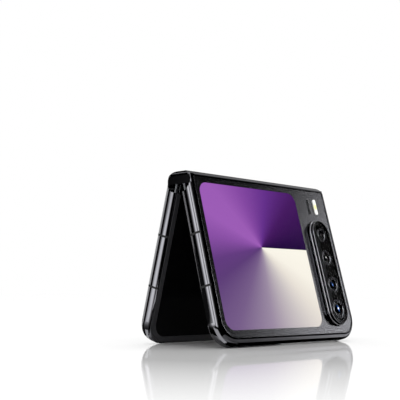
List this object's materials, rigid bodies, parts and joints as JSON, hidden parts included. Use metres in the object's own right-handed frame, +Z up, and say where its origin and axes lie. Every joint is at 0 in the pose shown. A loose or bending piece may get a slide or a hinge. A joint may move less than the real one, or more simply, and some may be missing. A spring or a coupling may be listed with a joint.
{
  "type": "foldable smartphone",
  "caption": "Wide clamshell foldable phone standing open like a tent, with a cover screen, a pill-shaped camera housing and a geared two-pivot hinge.",
  "frame": {"origin": "on the floor, under the middle of the bounding box", "axes": "+X along the hinge towards the camera side, +Y out from the base half, so the cover screen faces -Y, and +Z up"},
  "size_m": [0.0922, 0.0511, 0.072],
  "materials": {
    "black_frame": "polished black anodised",
    "black_ring": "polished black",
    "spine_metal": "satin dark grey",
    "dark_metal": "satin",
    "steel": "satin",
    "brass_gear": "satin",
    "black_glass": "gloss",
    "clear_glass": "gloss",
    "fold_film": "gloss",
    "soft_rim": "matte",
    "antenna_resin": "matte",
    "battery_wrap": "satin",
    "board": "satin",
    "black_ink": "satin",
    "black_plastic": "matte",
    "copper": "satin",
    "screen_image": "gloss",
    "lens_metal": "gloss",
    "flash_lens": "gloss",
    "stainless": "gloss"
  },
  "bodies": {
    "spine": {"spine_cover": "spine_metal", "spine_end_caps": "dark_metal", "hinge_brackets": "steel", "hinge_shafts": "steel", "friction_washers": "steel", "gear_plates": "steel", "sync_pins": "steel", "folding_screen_bend": "fold_film"},
    "base_half": {"base_frame": "black_frame", "base_bezel_ring": "black_ring", "base_back_glass": "black_glass", "base_antenna_breaks": "antenna_resin", "base_sync_arms": "steel", "base_torque_arms": "steel", "base_arm_screws": "steel", "base_screen_plate": "steel", "base_folding_screen": "fold_film", "base_inner_rim": "soft_rim", "base_battery": "battery_wrap", "base_board": "board", "usb_port": "stainless", "loudspeaker": "black_plastic", "vibration_motor": "stainless", "charging_coil": "copper"},
    "cover_half": {"cover_frame": "black_frame", "cover_bezel_ring": "black_ring", "cover_glass": "clear_glass", "cover_antenna_breaks": "antenna_resin", "cover_sync_arms": "steel", "cover_torque_arms": "steel", "cover_arm_screws": "steel", "cover_screen_plate": "steel", "cover_folding_screen": "fold_film", "cover_inner_rim": "soft_rim", "cover_battery": "battery_wrap", "main_board": "board", "cover_display": "screen_image", "cover_ink": "black_ink", "camera_housing": "black_ring", "camera_glass": "clear_glass", "camera_trim": "black_ink", "lens_rings": "lens_metal", "camera_main": "black_plastic", "camera_wide": "black_plastic", "camera_zoom": "black_plastic", "camera_colour_sensor": "black_plastic", "flash_led": "flash_lens", "selfie_camera": "black_plastic", "earpiece": "black_plastic", "key_switches": "copper"},
    "idler_base": {"idler_gears_base": "brass_gear"},
    "idler_cover": {"idler_gears_cover": "brass_gear"},
    "sim_tray": {"sim_tray": "black_frame"},
    "volume_key": {"volume_key": "black_frame"},
    "power_key": {"power_key": "black_frame"}
  },
  "joints": [
    {"name": "base_hinge", "type": "hinge", "parent": "spine", "child": "base_half", "pos_m": [-0.00022, 0.00247, 0.06751], "axis": [1, 0, 0], "range_deg": [-15.2, 74.8], "deforming": ["folding_screen_bend"]},
    {"name": "cover_hinge", "type": "hinge", "parent": "spine", "child": "cover_half", "pos_m": [-0.00022, -0.00123, 0.06751], "axis": [-1, 0, 0], "range_deg": [-15.2, 74.8], "deforming": ["folding_screen_bend"]},
    {"name": "idler_base_spin", "type": "hinge", "parent": "spine", "child": "idler_base", "pos_m": [-0.00022, 0.00162, 0.06932], "axis": [-1, 0, 0], "range_deg": [-15.2, 74.8]},
    {"name": "idler_cover_spin", "type": "hinge", "parent": "spine", "child": "idler_cover", "pos_m": [-0.00022, -0.00038, 0.06932], "axis": [1, 0, 0], "range_deg": [-15.2, 74.8]},
    {"name": "tray_slide", "type": "slide", "parent": "base_half", "child": "sim_tray", "axis": [0, 0.2622, -0.965], "range_m": [0, 0.014]},
    {"name": "volume_press", "type": "slide", "parent": "cover_half", "child": "volume_key", "axis": [-1, 0, 0], "range_m": [0, 0.00025], "stiffness_N_per_m": 1500, "springref_m": -0.0003},
    {"name": "power_press", "type": "slide", "parent": "cover_half", "child": "power_key", "axis": [-1, 0, 0], "range_m": [0, 0.00025], "stiffness_N_per_m": 1500, "springref_m": -0.0003}
  ],
  "couplings": [
    {"joint": "cover_hinge", "follows": "base_hinge", "ratio": 1},
    {"joint": "idler_base_spin", "follows": "base_hinge", "ratio": 1},
    {"joint": "idler_cover_spin", "follows": "base_hinge", "ratio": 1}
  ]
}
